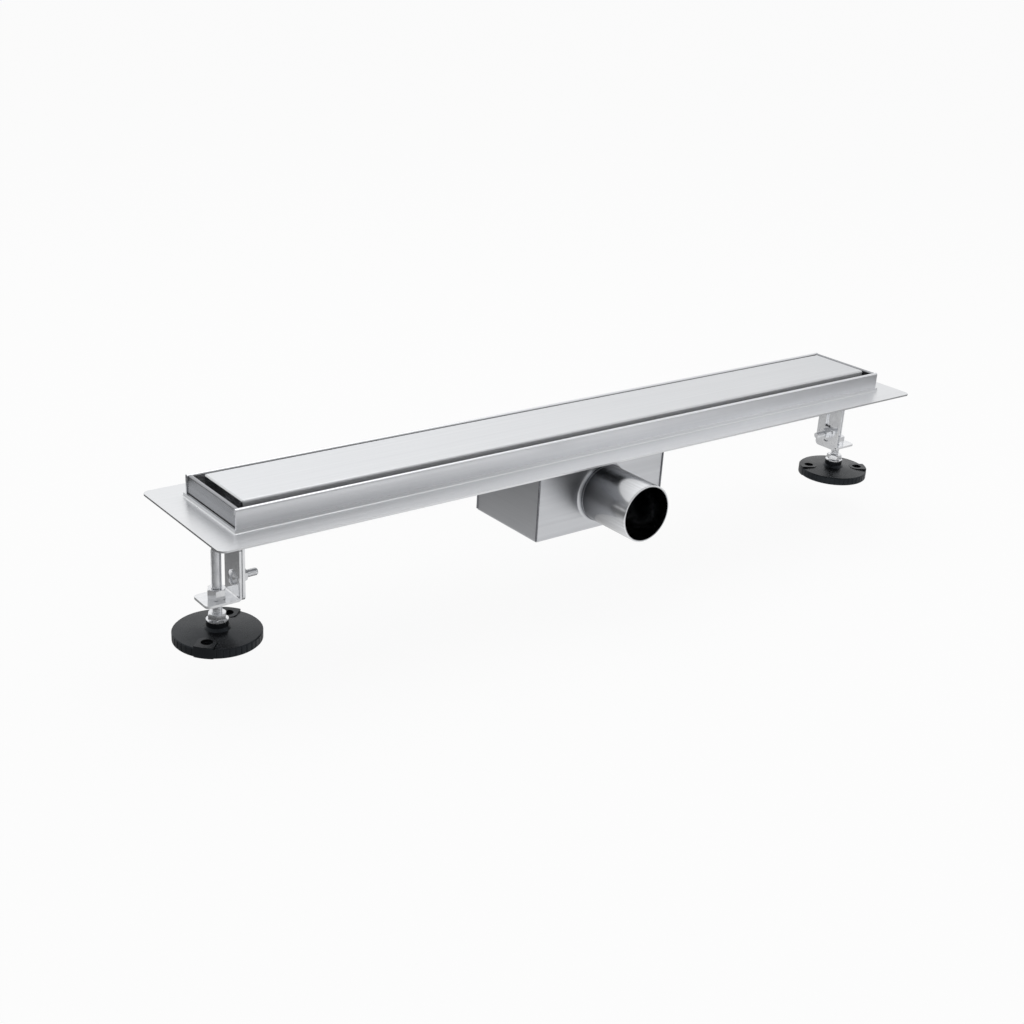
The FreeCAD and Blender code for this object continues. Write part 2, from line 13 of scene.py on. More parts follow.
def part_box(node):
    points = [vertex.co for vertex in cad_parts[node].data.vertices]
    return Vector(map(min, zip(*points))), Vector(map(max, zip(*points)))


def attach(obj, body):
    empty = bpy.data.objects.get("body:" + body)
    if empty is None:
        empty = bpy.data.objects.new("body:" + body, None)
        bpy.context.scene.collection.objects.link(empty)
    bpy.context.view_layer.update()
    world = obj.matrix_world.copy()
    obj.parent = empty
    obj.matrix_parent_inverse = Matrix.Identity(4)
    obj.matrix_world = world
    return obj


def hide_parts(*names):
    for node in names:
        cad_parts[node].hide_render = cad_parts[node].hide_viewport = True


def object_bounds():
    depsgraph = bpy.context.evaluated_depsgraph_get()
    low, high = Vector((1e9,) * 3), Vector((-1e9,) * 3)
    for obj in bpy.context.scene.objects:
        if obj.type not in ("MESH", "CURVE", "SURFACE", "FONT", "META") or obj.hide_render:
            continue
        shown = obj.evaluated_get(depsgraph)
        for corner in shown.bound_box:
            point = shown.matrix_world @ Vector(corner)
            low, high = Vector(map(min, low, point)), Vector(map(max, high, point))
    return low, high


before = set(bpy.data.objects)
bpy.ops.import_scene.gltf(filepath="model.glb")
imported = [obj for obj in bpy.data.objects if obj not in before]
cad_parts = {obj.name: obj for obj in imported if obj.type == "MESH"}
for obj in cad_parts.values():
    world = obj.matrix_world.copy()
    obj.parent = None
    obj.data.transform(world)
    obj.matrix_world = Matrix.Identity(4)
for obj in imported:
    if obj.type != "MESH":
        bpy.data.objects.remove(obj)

bl_info = {
    "name": "Channel drain",
    "version": (1, 0, 0),
    "blender": (4, 5, 0),
    "location": "3D View > Sidebar > Drain",
    "description": "Finishes, threads, welds and stage for a linear channel drain",
    "category": "Object",
}

CAD_BOX = [list(corner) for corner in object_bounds()]
FLOOR_Z = CAD_BOX[0][2]
SIDES = ("left", "right")
END_PLATES = ("end_plate_left", "end_plate_right")
COVER_FEET = ("cover_foot_1", "cover_foot_2", "cover_foot_3", "cover_foot_4")
PLATED_KINDS = ("hanger", "slide_bracket", "clamp_washer", "clamp_nut", "lock_nut", "foot_nut")

FULL_TURN = 2 * math.pi
THREAD_STEPS = 32           # facets in one turn of a thread
TURN_STEPS = 64             # facets round a turned solid
RING_STEPS = 128            # facets round the weld bead
DOME_STEPS = 8              # facets from a saucer head's tip to its edge
BEAD_STEPS = 6              # facets over the weld bead's half round
WELD_SIDES = 16             # facets round a corner weld
SMOOTH_ANGLE = math.radians(35)
JOIN_DISTANCE = 1e-6
# Points of one turn of a thread: root (0) or crest (1), and height as a share of the pitch.
THREAD_PROFILE = ((0, 0), (0, 1 / 4), (1, 9 / 16), (1, 11 / 16), (0, 1))

ALONG_X, ALONG_Y = (1, 0, 0), (0, 1, 0)
SCRATCHES = (24, 2600)      # scratches in a metre along and across the brushing
STREAKS = (3, 420)
STRETCH = 0.6               # how far brushing draws highlights out
TILT = 0.02                 # keeps the brushing's direction off every face's normal
END_FACING = (0.6, 0.8)     # the normal's share of X over which a face comes to count as an end
SOFT_EDGE = 0.0004          # width over which the painted shade inside the trough sets in
PIPE_SKIN = (0.0012, 0.0006)    # depths in the pipe's wall between which the painted shade of its bore gives way to its outside
NOISE_RANGE = (0.3, 0.7)    # where the values of one noise mostly lie
CLOUD_RANGE = (0.45, 0.85)  # the same for the zinc's clouds and marks together
GRAIN_RANGE = (0.7, 1.4)    # the same for streaks, scratches and cloud together
BACKDROP_FADE = (-0.4, 0.95)    # cosines off the brightest way between which the backdrop fades
LAMPS = {                   # place, what it looks at, size
    "overhead": ((0.1, 0.3, 1.7), (0, 0, 0), (1.8, 1.4)),
    "side": ((1.3, -1.2, 0.8), (0, 0, -0.05), (0.9, 0.9)),
}


# Sizes and colours

def length(name, description, default):
    return bpy.props.FloatProperty(name=name, description=description, default=default, min=0.0,
                                   unit="LENGTH", precision=5)


def colour(name, description, default):
    return bpy.props.FloatVectorProperty(name=name, description=description, default=default,
                                         min=0.0, max=1.0, size=3, subtype="COLOR")


def share(name, description, default):
    return bpy.props.FloatProperty(name=name, description=description, default=default,
                                   min=0.0, max=1.0, subtype="FACTOR")


def angle(name, description, degrees):
    return bpy.props.FloatProperty(name=name, description=description,
                                   default=math.radians(degrees), subtype="ANGLE")


def power(name, description, default):
    return bpy.props.FloatProperty(name=name, description=description, default=default, min=0.0,
                                   subtype="POWER")


def vector(name, description, default, subtype="TRANSLATION"):
    return bpy.props.FloatVectorProperty(name=name, description=description, default=default,
                                         size=len(default), subtype=subtype)


class DrainSteel(bpy.types.PropertyGroup):
    sheet: colour("Sheet", "Brushed sheet of the trough", (0.87, 0.88, 0.905))
    sheet_streak: colour("Sheet streak", "Darker streaks of the sheet", (0.80, 0.81, 0.835))
    box: colour("Box", "Brushed sheet of the sump box", (0.63, 0.64, 0.662))
    box_streak: colour("Box streak", "Darker streaks of the box", (0.59, 0.60, 0.622))
    # Painted shade: the end plates get a darker copy of the sheet's steel, standing in for the shade on the
    # ends.
    end_plate: colour("End plate", "Cross-brushed end plates", (0.40, 0.407, 0.425))
    end_streak: colour("End plate streak", "Darker streaks of the end plates", (0.34, 0.347, 0.365))
    cover: colour("Cover", "Brushed cover", (0.755, 0.765, 0.78))
    cover_streak: colour("Cover streak", "Darker streaks of the cover", (0.705, 0.715, 0.732))
    flange: colour("Flange", "Brushed flange", (0.80, 0.81, 0.825))
    # Painted shade: the inside of trough, end plates and pipe is darkened to this share, standing in for
    # the shade in the gaps and the bore.
    inside: share("Inside", "Brightness of the unpolished inside of trough and pipe", 0.5)
    plated: colour("Plating", "Bright zinc of brackets, rods and nuts", (0.93, 0.94, 0.955))
    plated_cloud: colour("Plating cloud", "Duller patches of the zinc", (0.82, 0.83, 0.855))
    plated_metal: share("Plating shine", "How much of the zinc mirrors instead of glowing dull", 0.84)
    pipe: colour("Pipe", "Drawn outlet pipe", (0.80, 0.81, 0.83))
    # Painted shade: the pipe darkens to this colour towards the weld by the box, over the reach below.
    pipe_shade: colour("Pipe tint", "Tint that the weld's heat leaves on the pipe", (0.05, 0.052, 0.058))
    pipe_shade_reach: length("Tint reach", "How far the tint runs along the pipe", 0.05)
    weld: colour("Weld", "Welds of the pipe and the box's corners", (0.25, 0.255, 0.275))
    wall: length("Wall", "Thickness of the hemmed walls", 0.003)
    sheet_roughness: share("Sheet roughness", "Middle roughness of the brushed sheet", 0.34)
    cover_roughness: share("Cover roughness", "Middle roughness of the cover", 0.46)
    pipe_roughness: share("Pipe roughness", "Middle roughness of the drawn pipe", 0.18)
    plated_roughness: share("Plating roughness", "Middle roughness of the zinc", 0.12)
    grain: length("Grain", "Depth of the brushing", 0.00003)
    weld_radius: length("Weld bead", "Half the width of the bead", 0.0013)
    weld_height: length("Weld height", "How far the bead stands off the pipe", 0.0006)
    corner_weld: length("Corner weld", "Radius of the welds up the box's corners", 0.0009)
    corner_bend: length("Corner bend", "Bend of the box's lower edges, where its corner welds end", 0.002)


class DrainThreads(bpy.types.PropertyGroup):
    rod_radius: length("Rod radius", "Crest radius of the levelling rod's thread", 0.004)
    rod_pitch: length("Rod pitch", "Rise of the levelling rod's thread in one turn", 0.00125)
    rod_head: length("Rod head", "Radius of the round head in the foot", 0.007)
    rod_head_height: length("Rod head height", "Thickness of the head in the foot", 0.004)
    screw_radius: length("Screw radius", "Crest radius of the clamp screw's thread", 0.003)
    screw_pitch: length("Screw pitch", "Rise of the clamp screw's thread in one turn", 0.001)
    screw_head: length("Screw head", "Radius of the clamp screw's saucer head", 0.006)
    screw_head_height: length("Screw head height", "Height of the saucer head", 0.0033)
    screw_head_edge: length("Screw head edge", "Straight edge of the saucer head", 0.0008)
    chamfer: length("Chamfer", "Chamfer at a thread's end", 0.0006)
    depth: share("Thread depth", "Depth of a thread as a share of its pitch", 0.61)


class DrainMouldings(bpy.types.PropertyGroup):
    foot: colour("Foot", "Black moulded plastic of the feet", (0.0045, 0.0049, 0.0056))
    foot_worn: colour("Foot, duller", "Greyer film on the feet", (0.010, 0.0108, 0.0122))
    foot_sheen: colour("Foot sheen", "Colour of the feet's shine", (0.78, 0.88, 1.0))
    trap: colour("Trap", "Grey moulded plastic of the trap", (0.46, 0.47, 0.48))
    trap_cloud: colour("Trap, duller", "Slightly darker flow marks of the trap", (0.38, 0.39, 0.40))
    rubber: colour("Rubber", "Seal and pads", (0.022, 0.022, 0.023))
    rubber_bloom: colour("Rubber bloom", "Pale bloom on the rubber", (0.05, 0.05, 0.052))


class DrainStage(bpy.types.PropertyGroup):
    floor_size: length("Floor", "Side of the square floor", 40.0)
    floor_drop: length("Floor drop", "Room left under the feet for their lowest setting", 0.0362)
    floor_tone: share("Floor tone", "Paleness of the floor", 0.86)
    floor_glow: share("Floor glow", "How far the floor is lifted to plain white", 0.92)
    pool_place: vector("Pool", "Middle of the bright pool that the metal sees", (0.085, -0.34))
    pool_core: length("Pool core", "Where the pool starts to fade", 0.2)
    pool_radius: length("Pool radius", "Where the pool has faded", 0.74)
    pool_light: share("Pool light", "Brightness of the pool's middle", 1.0)
    pool_edge: share("Pool edge", "Brightness of the floor beyond the pool", 0.14)
    backdrop_way: vector("Backdrop way", "Where the backdrop is brightest", (0.42, 0.83, 0.36), "DIRECTION")
    backdrop_far: share("Backdrop far side", "Brightness that metal sees on the opposite side", 0.36)
    backdrop_white: share("Backdrop white", "Plain tone of the backdrop, the same as the floor's", 0.975)
    sky: share("Sky", "Strength of the soft light from all round", 0.62)
    key_power: power("Key", "Power of the large lamp overhead", 9.0)
    side_power: power("Side", "Power of the lamp at the right", 1.5)
    camera_place: vector("Camera", "Where the camera stands", (-0.7875, -0.8925, 0.4016))
    camera_lens: bpy.props.FloatProperty(name="Lens", description="Focal length for a 36 mm sensor",
                                         default=50.945, unit="CAMERA")
    camera_heading: angle("Heading", "Camera's heading from +Y towards +X", 38.867)
    camera_dip: angle("Dip", "How far the camera looks down", 22.654)
    camera_roll: angle("Roll", "Camera's roll", 3.541)


# Materials

class Nodes:
    """A node tree, and short words for the nodes that the finishes and the stage share."""

    def __init__(self, tree):
        self.nodes, self.links = tree.nodes, tree.links

    def add(self, kind, inputs, **settings):
        """Adds a node. An input that is given a socket is linked to it, any other is set."""
        node = self.nodes.new(f"ShaderNode{kind}")
        for key, value in settings.items():
            setattr(node, key, value)
        for key, value in inputs.items():
            if isinstance(value, bpy.types.NodeSocket):
                self.links.new(value, node.inputs[key])
            else:
                node.inputs[key].default_value = value
        return node.outputs

    def place(self):
        """Object coordinates."""
        return self.add("TexCoord", {})["Object"]

    def moved(self, source, scale=(1, 1, 1), by=(0, 0, 0)):
        return self.add("Mapping", {"Vector": source, "Scale": scale, "Location": by})["Vector"]

    def part(self, source, axis):
        return self.add("SeparateXYZ", {"Vector": source})[axis]

    def norm(self, source):
        return self.add("VectorMath", {0: source}, operation="LENGTH")["Value"]

    def calculate(self, operation, *values):
        return self.add("Math", dict(enumerate(values)), operation=operation)["Value"]

    def spread(self, value, low, high, to_low, to_high):
        """Maps low to to_low and high to to_high, and holds both ends."""
        return self.add("MapRange", {"Value": value, "From Min": low, "From Max": high,
                                     "To Min": to_low, "To Max": to_high})["Result"]

    def blend(self, factor, first, second, **settings):
        """One colour where the factor is 0 and the other where it is 1."""
        return self.add("Mix", {"Factor": factor, "A": first, "B": second}, data_type="RGBA",
                        **settings)["Result"]

    def either(self, factor, first, second):
        """One shader where the factor is 0 and the other where it is 1."""
        return self.add("MixShader", {"Fac": factor, 1: first, 2: second})["Shader"]


class Paint(Nodes):
    """One procedural material on object coordinates, built up socket by socket."""

    def __init__(self, name, metallic, roughness):
        self.material = bpy.data.materials.new(name)
        self.material.use_nodes = True
        super().__init__(self.material.node_tree)
        self.shader = self.nodes["Principled BSDF"].inputs
        self.shader["Metallic"].default_value = metallic
        self.shader["Roughness"].default_value = roughness
        self.object = self.place()

    def tones(self, factor, first, second):
        return self.blend(factor, (*first, 1), (*second, 1))

    def dimmed(self, surface, factor):
        """A colour times a number."""
        return self.blend(1, surface, factor, blend_type="MULTIPLY")

    def facing_x(self):
        """1 on faces that look along X, 0 elsewhere."""
        normal = self.add("TexCoord", {})["Normal"]
        return self.spread(self.calculate("ABSOLUTE", self.part(normal, "X")), *END_FACING, 0, 1)

    def within(self, axis, half, least):
        """The least value within a half width of the middle along one axis, and 1 outside it."""
        aside = self.calculate("ABSOLUTE", self.part(self.object, axis))
        return self.spread(aside, half - SOFT_EDGE, half, least, 1)

    def noise(self, scale, detail=2.0, roughness=0.5):
        return self.noise_at(self.moved(self.object, scale), detail, roughness)

    def noise_at(self, source, detail, roughness):
        return self.add("TexNoise", {"Vector": source, "Scale": 1, "Detail": detail,
                                     "Roughness": roughness})["Fac"]

    def cells(self, scale):
        return self.add("TexVoronoi", {"Vector": self.moved(self.object), "Scale": scale},
                        feature="SMOOTH_F1")["Distance"]

    def sum(self, first, second, weight):
        return self.calculate("MULTIPLY_ADD", second, weight, first)

    def base(self, socket):
        self.links.new(socket, self.shader["Base Color"])

    def rough(self, socket):
        self.links.new(socket, self.shader["Roughness"])

    def bump(self, height, distance, strength):
        bumps = self.add("Bump", {"Height": height, "Distance": distance, "Strength": strength})
        self.links.new(bumps["Normal"], self.shader["Normal"])

    def stretch_highlights(self, along):
        """Draws highlights out across the brushing, which runs along one axis."""
        self.shader["Anisotropic"].default_value = STRETCH
        self.shader["Anisotropic Rotation"].default_value = 0.25
        way = self.add("CombineXYZ", {index: amount or TILT for index, amount in enumerate(along)})
        self.links.new(way["Vector"], self.shader["Tangent"])


def brushed(name, light, dark, roughness, along=ALONG_X, gloss_at_ends=1.0, inner_shade=None):
    """Stainless sheet brushed along one axis: fine scratches, longer streaks and a faint cloud.

    Faces that look along X are brushed along Y, and their roughness is taken times gloss_at_ends. Where
    inner_shade gives an axis, a half width and a share, the metal within that half width is darker by the
    share, a painted shade for the inside of the trough.
    """
    paint = Paint(name, 1.0, roughness)
    ends = paint.facing_x()

    def drawn_out(spacing, detail, fineness):
        """Noise drawn out along the brushing."""
        low, high = spacing
        sides = paint.moved(paint.object, [low if axis else high for axis in along])
        caps = paint.moved(paint.object, (high, low, high))
        # The Mix node's vector sockets are 4 and 5, and its vector result is 1.
        source = paint.add("Mix", {"Factor": ends, 4: sides, 5: caps}, data_type="VECTOR")[1]
        return paint.noise_at(source, detail, fineness)

    scratches = drawn_out(SCRATCHES, 3, 0.6)
    streaks = drawn_out(STREAKS, 3, 0.55)
    cloud = paint.noise((7, 14, 14))
    tone = paint.sum(paint.sum(streaks, scratches, 0.6), cloud, 0.5)
    surface = paint.tones(paint.spread(tone, *GRAIN_RANGE, 0, 1), dark, light)
    # Painted shade: within the half width that inner_shade gives, the colour is darkened by its share.
    paint.base(paint.dimmed(surface, paint.within(*inner_shade)) if inner_shade else surface)
    rough = paint.spread(tone, *GRAIN_RANGE, roughness + 0.06, roughness - 0.05)
    paint.rough(paint.calculate("MULTIPLY", rough, paint.spread(ends, 0, 1, 1, gloss_at_ends)))
    paint.bump(paint.sum(scratches, streaks, 0.5), bpy.context.scene.drain_steel.grain, 0.5)
    paint.stretch_highlights(along)
    return paint.material


def drawn_pipe(name, steel, centre, high):
    """Tube drawn along Y: bright at its mouth, darkened by painted shade towards the weld, and darkened
    inside by painted shade.
    """
    radius = high.z - centre.z
    roughness = steel.pipe_roughness
    paint = Paint(name, 1.0, roughness)
    marks = paint.noise((900, 14, 900), 3, 0.6)
    from_weld = paint.moved(paint.object, by=(-centre.x, -high.y, -centre.z))
    # Painted shade along the pipe: 1 at pipe_shade_reach from the weld, falling to 0 at the weld.
    clear = paint.spread(paint.part(from_weld, "Y"), -steel.pipe_shade_reach, 0, 1, 0)
    off_axis = paint.norm(paint.moved(from_weld, (1, 0, 1)))
    deep, shallow = PIPE_SKIN
    # Painted shade in the bore: steel.inside under the skin, 1 on the outside.
    outside = paint.spread(off_axis, radius - deep, radius - shallow, steel.inside, 1)
    light = paint.calculate("MULTIPLY", clear, paint.spread(marks, *NOISE_RANGE, 0.84, 1))
    paint.base(paint.dimmed(paint.tones(light, steel.pipe_shade, steel.pipe), outside))
    paint.rough(paint.spread(marks, *NOISE_RANGE, roughness + 0.05, roughness - 0.05))
    paint.bump(marks, steel.grain, 0.5)
    paint.stretch_highlights(ALONG_Y)
    return paint.material


def plated(name, light, dark, roughness, metal=1.0):
    """Bright metal with soft clouds and fine drawing marks."""
    paint = Paint(name, metal, roughness)
    clouds = paint.noise((160, 160, 110), 4, 0.6)
    marks = paint.noise((1500, 1500, 140))
    tone = paint.sum(clouds, marks, 0.35)
    paint.base(paint.tones(paint.spread(tone, *CLOUD_RANGE, 0, 1), dark, light))
    paint.rough(paint.spread(tone, *CLOUD_RANGE, roughness + 0.12, roughness - 0.04))
    paint.bump(tone, 0.00004, 0.35)
    return paint.material


def weld_finish(name, light):
    """Weld: close ripples and a heat tint in soft patches."""
    paint = Paint(name, 1.0, 0.3)
    ripples = paint.noise((900, 300, 900), 3)
    tint = paint.noise((60, 60, 60))
    darker = [tone * 0.72 for tone in light]
    paint.base(paint.tones(paint.spread(tint, 0.4, 0.6, 0, 1), darker, light))
    paint.rough(paint.spread(ripples, *NOISE_RANGE, 0.22, 0.42))
    paint.bump(ripples, 0.0002, 0.6)
    return paint.material


def moulded(name, light, dark, roughness, grain, shine=0.5, sheen=(1, 1, 1)):
    """Moulded plastic: fine eroded texture and soft flow marks."""
    paint = Paint(name, 0.0, roughness)
    paint.shader["Specular IOR Level"].default_value = shine
    paint.shader["Specular Tint"].default_value = (*sheen, 1)
    texture = paint.cells(grain)
    flow = paint.noise((45, 45, 70), 4, 0.6)
    paint.base(paint.tones(paint.spread(flow, 0.38, 0.66, 0, 1), dark, light))
    paint.rough(paint.spread(flow, *NOISE_RANGE, roughness - 0.08, roughness + 0.08))
    paint.bump(paint.sum(texture, flow, 0.4), 0.00008, 0.4)
    return paint.material


def rubber(name, dark, bloom):
    """Soft rubber with a pale bloom."""
    paint = Paint(name, 0.0, 0.62)
    dust = paint.noise((90, 90, 90), 5, 0.7)
    skin = paint.noise((1400, 1400, 1400))
    paint.base(paint.tones(paint.spread(dust, 0.45, 0.75, 0, 1), dark, bloom))
    paint.rough(paint.spread(dust, *NOISE_RANGE, 0.55, 0.75))
    paint.bump(skin, 0.00005, 0.4)
    return paint.material


def zinc():
    """The one plated finish, shared by all the legs' metal."""
    steel = bpy.context.scene.drain_steel
    return bpy.data.materials.get("zinc plating") or plated(
        "zinc plating", steel.plated, steel.plated_cloud, steel.plated_roughness, steel.plated_metal)


def finish_nodes(names, material):
    """Gives CAD nodes one of the finishes above."""
    for name in names:
        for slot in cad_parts[name].material_slots:
            slot.material = material


# Shapes

def spin_outline(mesh, points, closed, **turn):
    """Spins an outline of (radius, z) points about Z."""
    corners = [mesh.verts.new((radius, 0, z)) for radius, z in points]
    pairs = zip(corners, corners[1:] + corners[:1] if closed else corners[1:])
    edges = [mesh.edges.new(pair) for pair in pairs]
    bmesh.ops.spin(mesh, geom=corners + edges, cent=(0, 0, 0), axis=(0, 0, 1), **turn)


def add_turned(mesh, points):
    """Adds a solid turned about Z from an outline that starts and ends on the axis."""
    spin_outline(mesh, points, False, angle=FULL_TURN, steps=TURN_STEPS, use_merge=True)


def add_thread(mesh, radius, pitch, depth, low, high):
    """Adds a right-hand thread about Z, spun up its helix and trimmed flat between low and high."""
    root = radius - depth * pitch
    start = low - 2 * pitch
    turns = math.ceil((high - low) / pitch) + 4
    points = [(radius if crest else root, start + rise * pitch) for crest, rise in THREAD_PROFILE]
    spin_outline(mesh, points, False, dvec=(0, 0, pitch / THREAD_STEPS), angle=FULL_TURN * turns,
                 steps=THREAD_STEPS * turns)
    bmesh.ops.remove_doubles(mesh, verts=mesh.verts, dist=pitch / 200)
    for z, normal in ((low, (0, 0, -1)), (high, (0, 0, 1))):
        geometry = mesh.verts[:] + mesh.edges[:] + mesh.faces[:]
        bmesh.ops.bisect_plane(mesh, geom=geometry, plane_co=(0, 0, z), plane_no=normal, clear_outer=True)
    bmesh.ops.holes_fill(mesh, edges=[edge for edge in mesh.edges if edge.is_boundary])


def chamfer_tip(mesh, radius, tip, chamfer):
    """Draws the points near a thread's end in to a cone."""
    for vert in mesh.verts:
        allowed = radius - chamfer + tip - vert.co.z
        reach = vert.co.xy.length
        if reach > allowed:
            vert.co.xy *= allowed / reach


def make_piece(name, mesh, material, body, replaced=None):
    """Makes an object of a finished mesh, in the place of a CAD node where one is named."""
    bmesh.ops.remove_doubles(mesh, verts=mesh.verts, dist=JOIN_DISTANCE)
    bmesh.ops.recalc_face_normals(mesh, faces=mesh.faces)
    data = bpy.data.meshes.new(name)
    mesh.to_mesh(data)
    mesh.free()
    data.materials.append(material)
    data.shade_smooth()
    data.set_sharp_from_angle(angle=SMOOTH_ANGLE)
    piece = bpy.data.objects.new(name, data)
    bpy.context.scene.collection.objects.link(piece)
    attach(piece, body)
    if replaced:
        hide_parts(replaced)


def middle_and_span(node):
    """Middle of a node's box, and its lowest and highest corners."""
    low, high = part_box(node)
    return (low + high) / 2, low, high


class DRAIN_OT_trough(bpy.types.Operator):
    """Brush the trough, its end plates and the flange"""
    bl_idname = "drain.trough"
    bl_label = "Trough and flange"

    def execute(self, context):
        steel = context.scene.drain_steel
        rough = steel.sheet_roughness
        # Painted shade: the steel between the walls and between the end plates is darkened to steel.inside.
        walls = ("Y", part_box("channel_trough")[1].y - steel.wall, steel.inside)
        ends = ("X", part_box("end_plate_right")[1].x - steel.wall, steel.inside)
        finish_nodes(["channel_trough", *COVER_FEET],
                     brushed("brushed sheet", steel.sheet, steel.sheet_streak, rough, inner_shade=walls))
        finish_nodes(["flange"], brushed("brushed flange", steel.flange, steel.cover, rough))
        # Painted shade: the end plates take the darker steel set for them above.
        finish_nodes(END_PLATES, brushed("brushed end plate", steel.end_plate, steel.end_streak, rough,
                                         along=ALONG_Y, gloss_at_ends=0.8, inner_shade=ends))
        return {"FINISHED"}


class DRAIN_OT_cover(bpy.types.Operator):
    """Brush the lift-out cover"""
    bl_idname = "drain.cover"
    bl_label = "Cover"

    def execute(self, context):
        steel = context.scene.drain_steel
        finish_nodes(["cover_plate"], brushed("brushed cover", steel.cover, steel.cover_streak,
                                              steel.cover_roughness, gloss_at_ends=0.4))
        return {"FINISHED"}


class DRAIN_OT_sump(bpy.types.Operator):
    """Brush the sump box, finish the outlet pipe and lay their welds"""
    bl_idname = "drain.sump"
    bl_label = "Sump box and outlet"

    def execute(self, context):
        steel = context.scene.drain_steel
        weld = weld_finish("weld bead", steel.weld)
        finish_nodes(["sump_box"],
                     brushed("brushed box", steel.box, steel.box_streak, steel.sheet_roughness))
        centre, _, high = middle_and_span("outlet_pipe")
        finish_nodes(["outlet_pipe"], drawn_pipe("drawn pipe", steel, centre, high))
        self.lay_bead(steel, weld, centre, high)
        self.lay_corners(steel, weld)
        return {"FINISHED"}

    def lay_bead(self, steel, weld, centre, high):
        """Half-round bead where the pipe's end meets the neck."""
        radius = high.z - centre.z
        root = radius - steel.weld_height
        angles = [math.pi * step / BEAD_STEPS for step in range(BEAD_STEPS + 1)]
        crown = [(radius + steel.weld_height * math.sin(a), steel.weld_radius * math.cos(a))
                 for a in angles]
        mesh = bmesh.new()
        spin_outline(mesh, [(root, steel.weld_radius), *crown, (root, -steel.weld_radius)], True,
                     angle=FULL_TURN, steps=RING_STEPS, use_merge=True)
        joint = Matrix.Translation((centre.x, high.y, centre.z)) @ Matrix.Rotation(math.pi / 2, 4, "X")
        bmesh.ops.transform(mesh, verts=mesh.verts, matrix=joint)
        make_piece("weld_bead", mesh, weld, "channel")

    def lay_corners(self, steel, weld):
        """Upright welds on the box's four corners. Its front wall lies as far out as its back wall."""
        low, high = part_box("sump_box")
        bottom = low.z + steel.corner_bend
        mesh = bmesh.new()
        for x in (low.x, high.x):
            for y in (-high.y, high.y):
                made = bmesh.ops.create_cone(mesh, cap_ends=True, segments=WELD_SIDES,
                                             radius1=steel.corner_weld, radius2=steel.corner_weld,
                                             depth=high.z - bottom)
                middle = Vector((x, y, (high.z + bottom) / 2))
                bmesh.ops.translate(mesh, verts=made["verts"], vec=middle)
        make_piece("corner_welds", mesh, weld, "channel")


class DRAIN_OT_brackets(bpy.types.Operator):
    """Plate the hangers, slide brackets, washers and nuts"""
    bl_idname = "drain.brackets"
    bl_label = "Brackets and nuts"

    def execute(self, context):
        finish_nodes([f"{kind}_{side}" for kind in PLATED_KINDS for side in SIDES], zinc())
        return {"FINISHED"}


class DRAIN_OT_rods(bpy.types.Operator):
    """Cut the levelling rods' threads"""
    bl_idname = "drain.rods"
    bl_label = "Levelling rods"

    def execute(self, context):
        sizes = context.scene.drain_threads
        for side in SIDES:
            node = f"levelling_rod_{side}"
            centre, low, high = middle_and_span(node)
            neck = low.z + sizes.rod_head_height
            mesh = bmesh.new()
            add_thread(mesh, sizes.rod_radius, sizes.rod_pitch, sizes.depth, neck - sizes.rod_pitch, high.z)
            chamfer_tip(mesh, sizes.rod_radius, high.z, sizes.chamfer)
            edge = sizes.rod_head_height / 8
            rim = sizes.rod_head
            add_turned(mesh, ((0, low.z), (rim - edge, low.z), (rim, low.z + edge), (rim, neck - edge),
                              (rim - edge, neck), (0, neck)))
            bmesh.ops.translate(mesh, verts=mesh.verts, vec=(centre.x, centre.y, 0))
            make_piece(f"threaded_rod_{side}", mesh, zinc(), f"rod_{side}", node)
        return {"FINISHED"}


class DRAIN_OT_screws(bpy.types.Operator):
    """Cut the clamp screws' threads"""
    bl_idname = "drain.screws"
    bl_label = "Clamp screws"

    def execute(self, context):
        sizes = context.scene.drain_threads
        height, rim = sizes.screw_head_height, sizes.screw_head
        dome = height - sizes.screw_head_edge
        ball = (rim ** 2 + dome ** 2) / (2 * dome)
        arc = [math.asin(rim / ball) * step / DOME_STEPS for step in range(DOME_STEPS + 1)]
        saucer = [(ball * math.sin(a), ball - height - ball * math.cos(a)) for a in arc]
        for side, inboard in zip(SIDES, (1, -1)):
            node = f"clamp_screw_{side}"
            centre, low, high = middle_and_span(node)
            reach = high.x - low.x - height
            mesh = bmesh.new()
            add_thread(mesh, sizes.screw_radius, sizes.screw_pitch, sizes.depth, -sizes.screw_pitch, reach)
            chamfer_tip(mesh, sizes.screw_radius, reach, sizes.chamfer)
            add_turned(mesh, [*saucer, (rim, 0), (0, 0)])
            head = Vector((low.x + height if inboard > 0 else high.x - height, centre.y, centre.z))
            lie_down = Matrix.Translation(head) @ Matrix.Rotation(math.pi / 2 * inboard, 4, "Y")
            bmesh.ops.transform(mesh, verts=mesh.verts, matrix=lie_down)
            make_piece(f"threaded_screw_{side}", mesh, zinc(), f"bracket_{side}", node)
        return {"FINISHED"}


class DRAIN_OT_feet(bpy.types.Operator):
    """Mould the black feet"""
    bl_idname = "drain.feet"
    bl_label = "Feet"

    def execute(self, context):
        tones = context.scene.drain_mouldings
        black = moulded("black moulding", tones.foot, tones.foot_worn, 0.27, 1900, 0.3, tones.foot_sheen)
        finish_nodes([f"foot_{side}" for side in SIDES], black)
        return {"FINISHED"}


